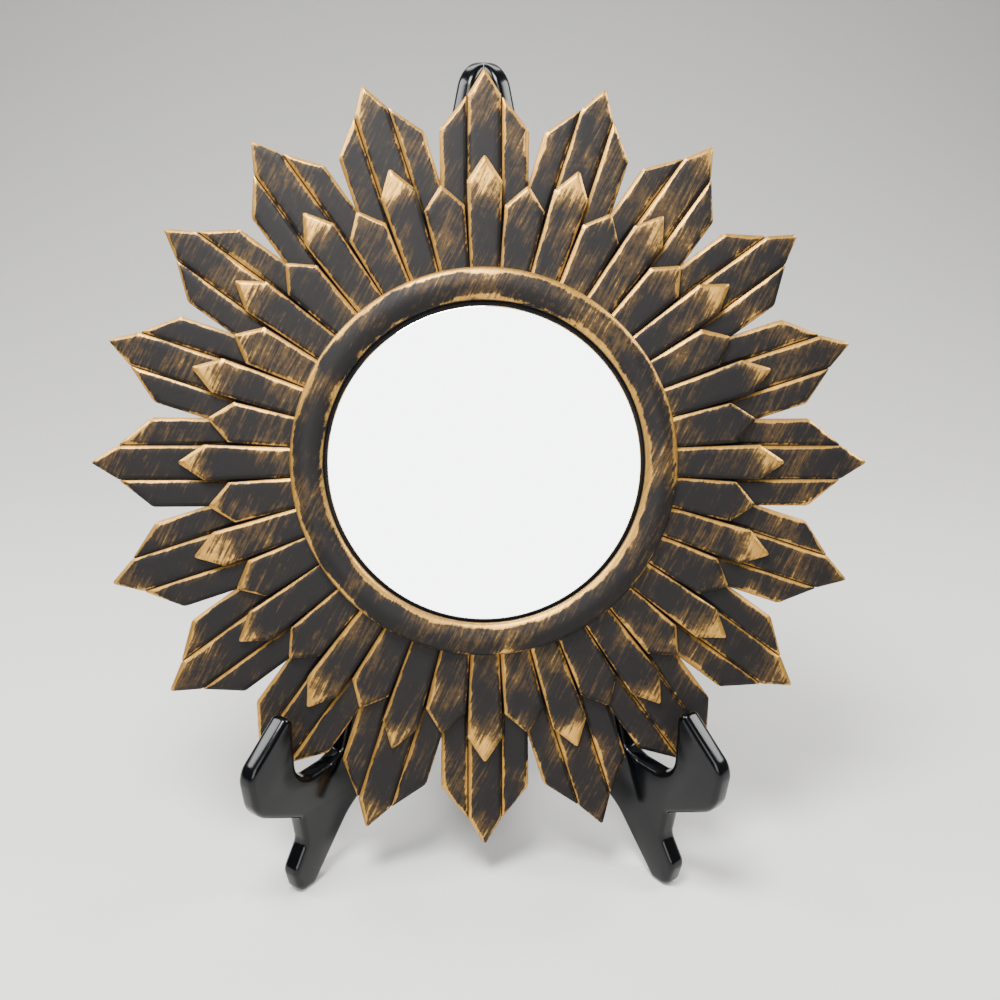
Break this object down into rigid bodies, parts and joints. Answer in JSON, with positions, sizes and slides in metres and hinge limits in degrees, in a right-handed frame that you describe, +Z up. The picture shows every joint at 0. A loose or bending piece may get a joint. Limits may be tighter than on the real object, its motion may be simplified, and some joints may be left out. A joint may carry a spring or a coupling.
{
  "type": "sunburst wall mirror on an easel",
  "caption": "Round mirror in a two-tier sunburst frame of pointed flat bars with a crowned ring, standing in a splayed two-plate easel.",
  "frame": {"origin": "on the floor, under the middle of the box round the whole part", "axes": "+Z up; the mirror faces -Y and leans back towards +Y; +X is to the right of someone who faces it"},
  "size_m": [0.252, 0.1044, 0.258],
  "materials": {
    "brushed_moulding": "black moulded plastic, dry-brushed with antique gold on every edge",
    "silvered_glass": "polished",
    "easel_plastic": "black, glossy as moulded"
  },
  "bodies": {
    "root": {"sunburst_frame": "brushed_moulding", "mirror_glass": "silvered_glass", "easel_left": "easel_plastic", "easel_right": "easel_plastic"}
  },
  "joints": []
}
